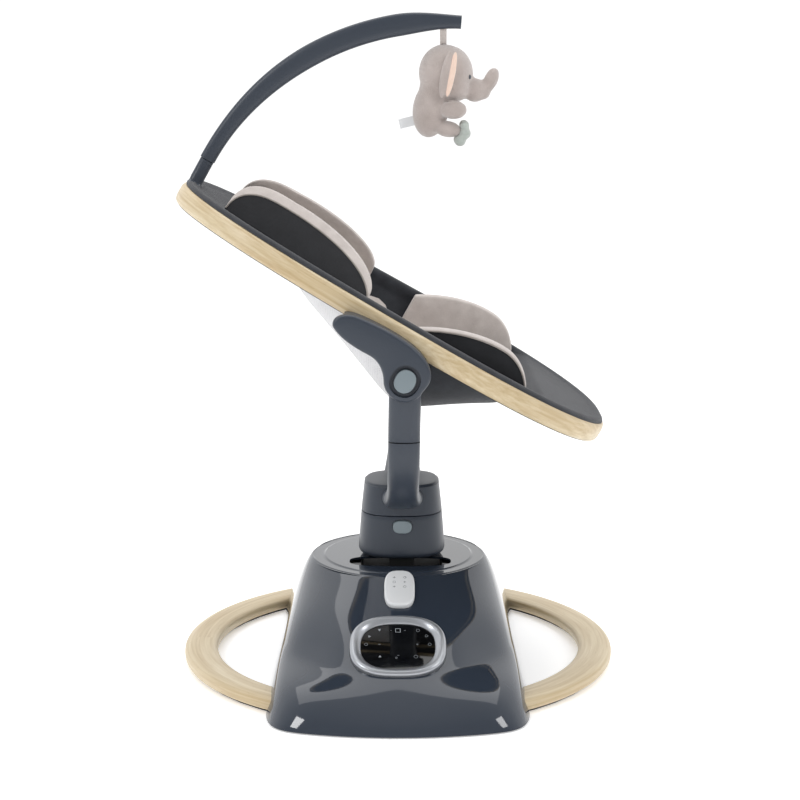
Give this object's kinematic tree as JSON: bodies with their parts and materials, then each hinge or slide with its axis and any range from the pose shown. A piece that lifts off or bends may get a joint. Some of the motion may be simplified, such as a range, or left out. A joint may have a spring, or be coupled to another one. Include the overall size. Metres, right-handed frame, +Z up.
{
  "type": "baby swing",
  "caption": "Electric baby swing: reclining oval wooden-rimmed seat with wings and a toy bar, on a swivelling yoke over a swaying base.",
  "frame": {"origin": "centre of the floor ring on the floor", "axes": "+Z up; +X from the head end to the foot end of the seat; -Y is the side with the control panel"},
  "size_m": [0.6, 0.6666, 0.8877],
  "materials": {
    "ash_wood": "bent laminated ash with a satin clear lacquer",
    "rubber": "moulded black rubber, matt",
    "slate_gloss": "moulded ABS in slate grey, high gloss",
    "slate_matt": "moulded slate grey plastic, fine satin",
    "button_grey": "moulded mid grey plastic, satin",
    "dark_plastic": "moulded black plastic, matt",
    "white_plastic": "moulded white plastic, soft gloss",
    "acetal": "natural acetal",
    "silver_trim": "silver lacquered plastic, satin metallic",
    "display_glass": "black acrylic touch window, high gloss",
    "steel": "zinc plated steel",
    "circuit_board": "green solder mask",
    "black_cloth": "tightly woven black polyester",
    "grey_cloth": "warm light grey jersey over foam",
    "webbing": "black woven webbing",
    "plush": "short pile plush, warm grey"
  },
  "bodies": {
    "base": {"floor_ring": "ash_wood", "floor_grip": "rubber", "base_plate": "dark_plastic", "housing_shell": "slate_gloss", "ring_clamp_front": "steel", "ring_clamp_rear": "steel", "housing_screw_1": "steel", "housing_screw_2": "steel", "housing_screw_3": "steel", "housing_screw_4": "steel", "gear_motor": "steel", "motor_bracket": "steel", "guide_rail_front": "acetal", "guide_rail_rear": "acetal", "main_board": "circuit_board", "speaker": "dark_plastic", "power_inlet": "dark_plastic", "panel_bezel": "silver_trim", "panel_glass": "display_glass", "control_board": "circuit_board", "remote_magnet": "steel"},
    "pinion": {"drive_pinion": "acetal"},
    "remote": {"remote_control": "white_plastic"},
    "carriage": {"carriage": "dark_plastic", "swing_hub": "slate_matt", "bearing_housing": "dark_plastic", "swivel_bearing": "acetal", "hub_spindle": "steel"},
    "swivel_button": {"swivel_button": "button_grey"},
    "yoke": {"swivel_hub": "slate_matt", "lower_arm_front": "slate_matt", "upper_arm_front": "slate_matt", "pivot_tube_front": "steel", "lower_arm_rear": "slate_matt", "upper_arm_rear": "slate_matt", "pivot_tube_rear": "steel"},
    "seat": {"seat_ring": "ash_wood", "seat_frame": "steel", "seat_bucket": "black_cloth", "seat_liner": "grey_cloth", "seat_bracket_front": "slate_matt", "seat_bracket_rear": "slate_matt", "head_wing_front": "grey_cloth", "head_wing_rear": "grey_cloth", "hip_wing_front": "grey_cloth", "hip_wing_rear": "grey_cloth", "shoulder_strap_front": "webbing", "shoulder_strap_rear": "webbing", "buckle": "dark_plastic", "toy_bar_mount": "slate_matt"},
    "recline_button_front": {"recline_button_front": "button_grey"},
    "recline_button_rear": {"recline_button_rear": "button_grey"},
    "buckle_button": {"buckle_button": "button_grey"},
    "toy_bar": {"toy_bar": "slate_matt", "toy_hook": "slate_matt"},
    "plush_toy": {"plush_toy": "plush"},
    "roller_front_left": {"roller_front_left": "acetal"},
    "roller_front_right": {"roller_front_right": "acetal"},
    "roller_rear_left": {"roller_rear_left": "acetal"},
    "roller_rear_right": {"roller_rear_right": "acetal"}
  },
  "joints": [
    {"name": "sway", "type": "hinge", "parent": "base", "child": "carriage", "pos_m": [0.005, 0, 0.8], "axis": [0, 1, 0], "range_deg": [-3.2, 3.2]},
    {"name": "pinion_spin", "type": "hinge", "parent": "base", "child": "pinion", "pos_m": [0.005, 0, 0.1], "axis": [0, 1, 0], "range_deg": [-138, 138]},
    {"name": "swivel", "type": "hinge", "parent": "carriage", "child": "yoke", "pos_m": [0.005, 0, 0.212], "axis": [0, 0, 1], "continuous": true},
    {"name": "recline", "type": "hinge", "parent": "yoke", "child": "seat", "pos_m": [0.009, 0, 0.4303], "axis": [0, 1, 0], "range_deg": [-12, 12]},
    {"name": "toy_bar_swing", "type": "hinge", "parent": "seat", "child": "toy_bar", "pos_m": [-0.25695, 0, 0.69367], "axis": [0.4955, 0, 0.8686], "range_deg": [-90, 90]},
    {"name": "toy_swing", "type": "hinge", "parent": "toy_bar", "child": "plush_toy", "pos_m": [0.0603, 0, 0.8466], "axis": [0, 1, 0], "range_deg": [-40, 40]},
    {"name": "remote_lift", "type": "slide", "parent": "base", "child": "remote", "axis": [0, -0.4352, 0.9003], "range_m": [0, 0.08]},
    {"name": "swivel_press", "type": "slide", "parent": "carriage", "child": "swivel_button", "axis": [0, 1, 0], "range_m": [0, 0.003], "stiffness_N_per_m": 400},
    {"name": "recline_press_front", "type": "slide", "parent": "seat", "child": "recline_button_front", "axis": [0, 1, 0], "range_m": [0, 0.0025], "stiffness_N_per_m": 400},
    {"name": "recline_press_rear", "type": "slide", "parent": "seat", "child": "recline_button_rear", "axis": [0, -1, 0], "range_m": [0, 0.0025], "stiffness_N_per_m": 400},
    {"name": "buckle_press", "type": "slide", "parent": "seat", "child": "buckle_button", "axis": [-0.766, 0, -0.6428], "range_m": [0, 0.0025], "stiffness_N_per_m": 400},
    {"name": "roller_spin_front_left", "type": "hinge", "parent": "carriage", "child": "roller_front_left", "pos_m": [-0.045, -0.072, 0.11181], "axis": [0, 1, 0], "range_deg": [-250, 250]},
    {"name": "roller_spin_front_right", "type": "hinge", "parent": "carriage", "child": "roller_front_right", "pos_m": [0.055, -0.072, 0.11181], "axis": [0, 1, 0], "range_deg": [-250, 250]},
    {"name": "roller_spin_rear_left", "type": "hinge", "parent": "carriage", "child": "roller_rear_left", "pos_m": [-0.045, 0.072, 0.11181], "axis": [0, 1, 0], "range_deg": [-250, 250]},
    {"name": "roller_spin_rear_right", "type": "hinge", "parent": "carriage", "child": "roller_rear_right", "pos_m": [0.055, 0.072, 0.11181], "axis": [0, 1, 0], "range_deg": [-250, 250]}
  ],
  "couplings": [
    {"joint": "pinion_spin", "follows": "sway", "ratio": -42.75},
    {"joint": "roller_spin_front_left", "follows": "sway", "ratio": -77.667},
    {"joint": "roller_spin_front_right", "follows": "sway", "ratio": -77.667},
    {"joint": "roller_spin_rear_left", "follows": "sway", "ratio": -77.667},
    {"joint": "roller_spin_rear_right", "follows": "sway", "ratio": -77.667}
  ]
}
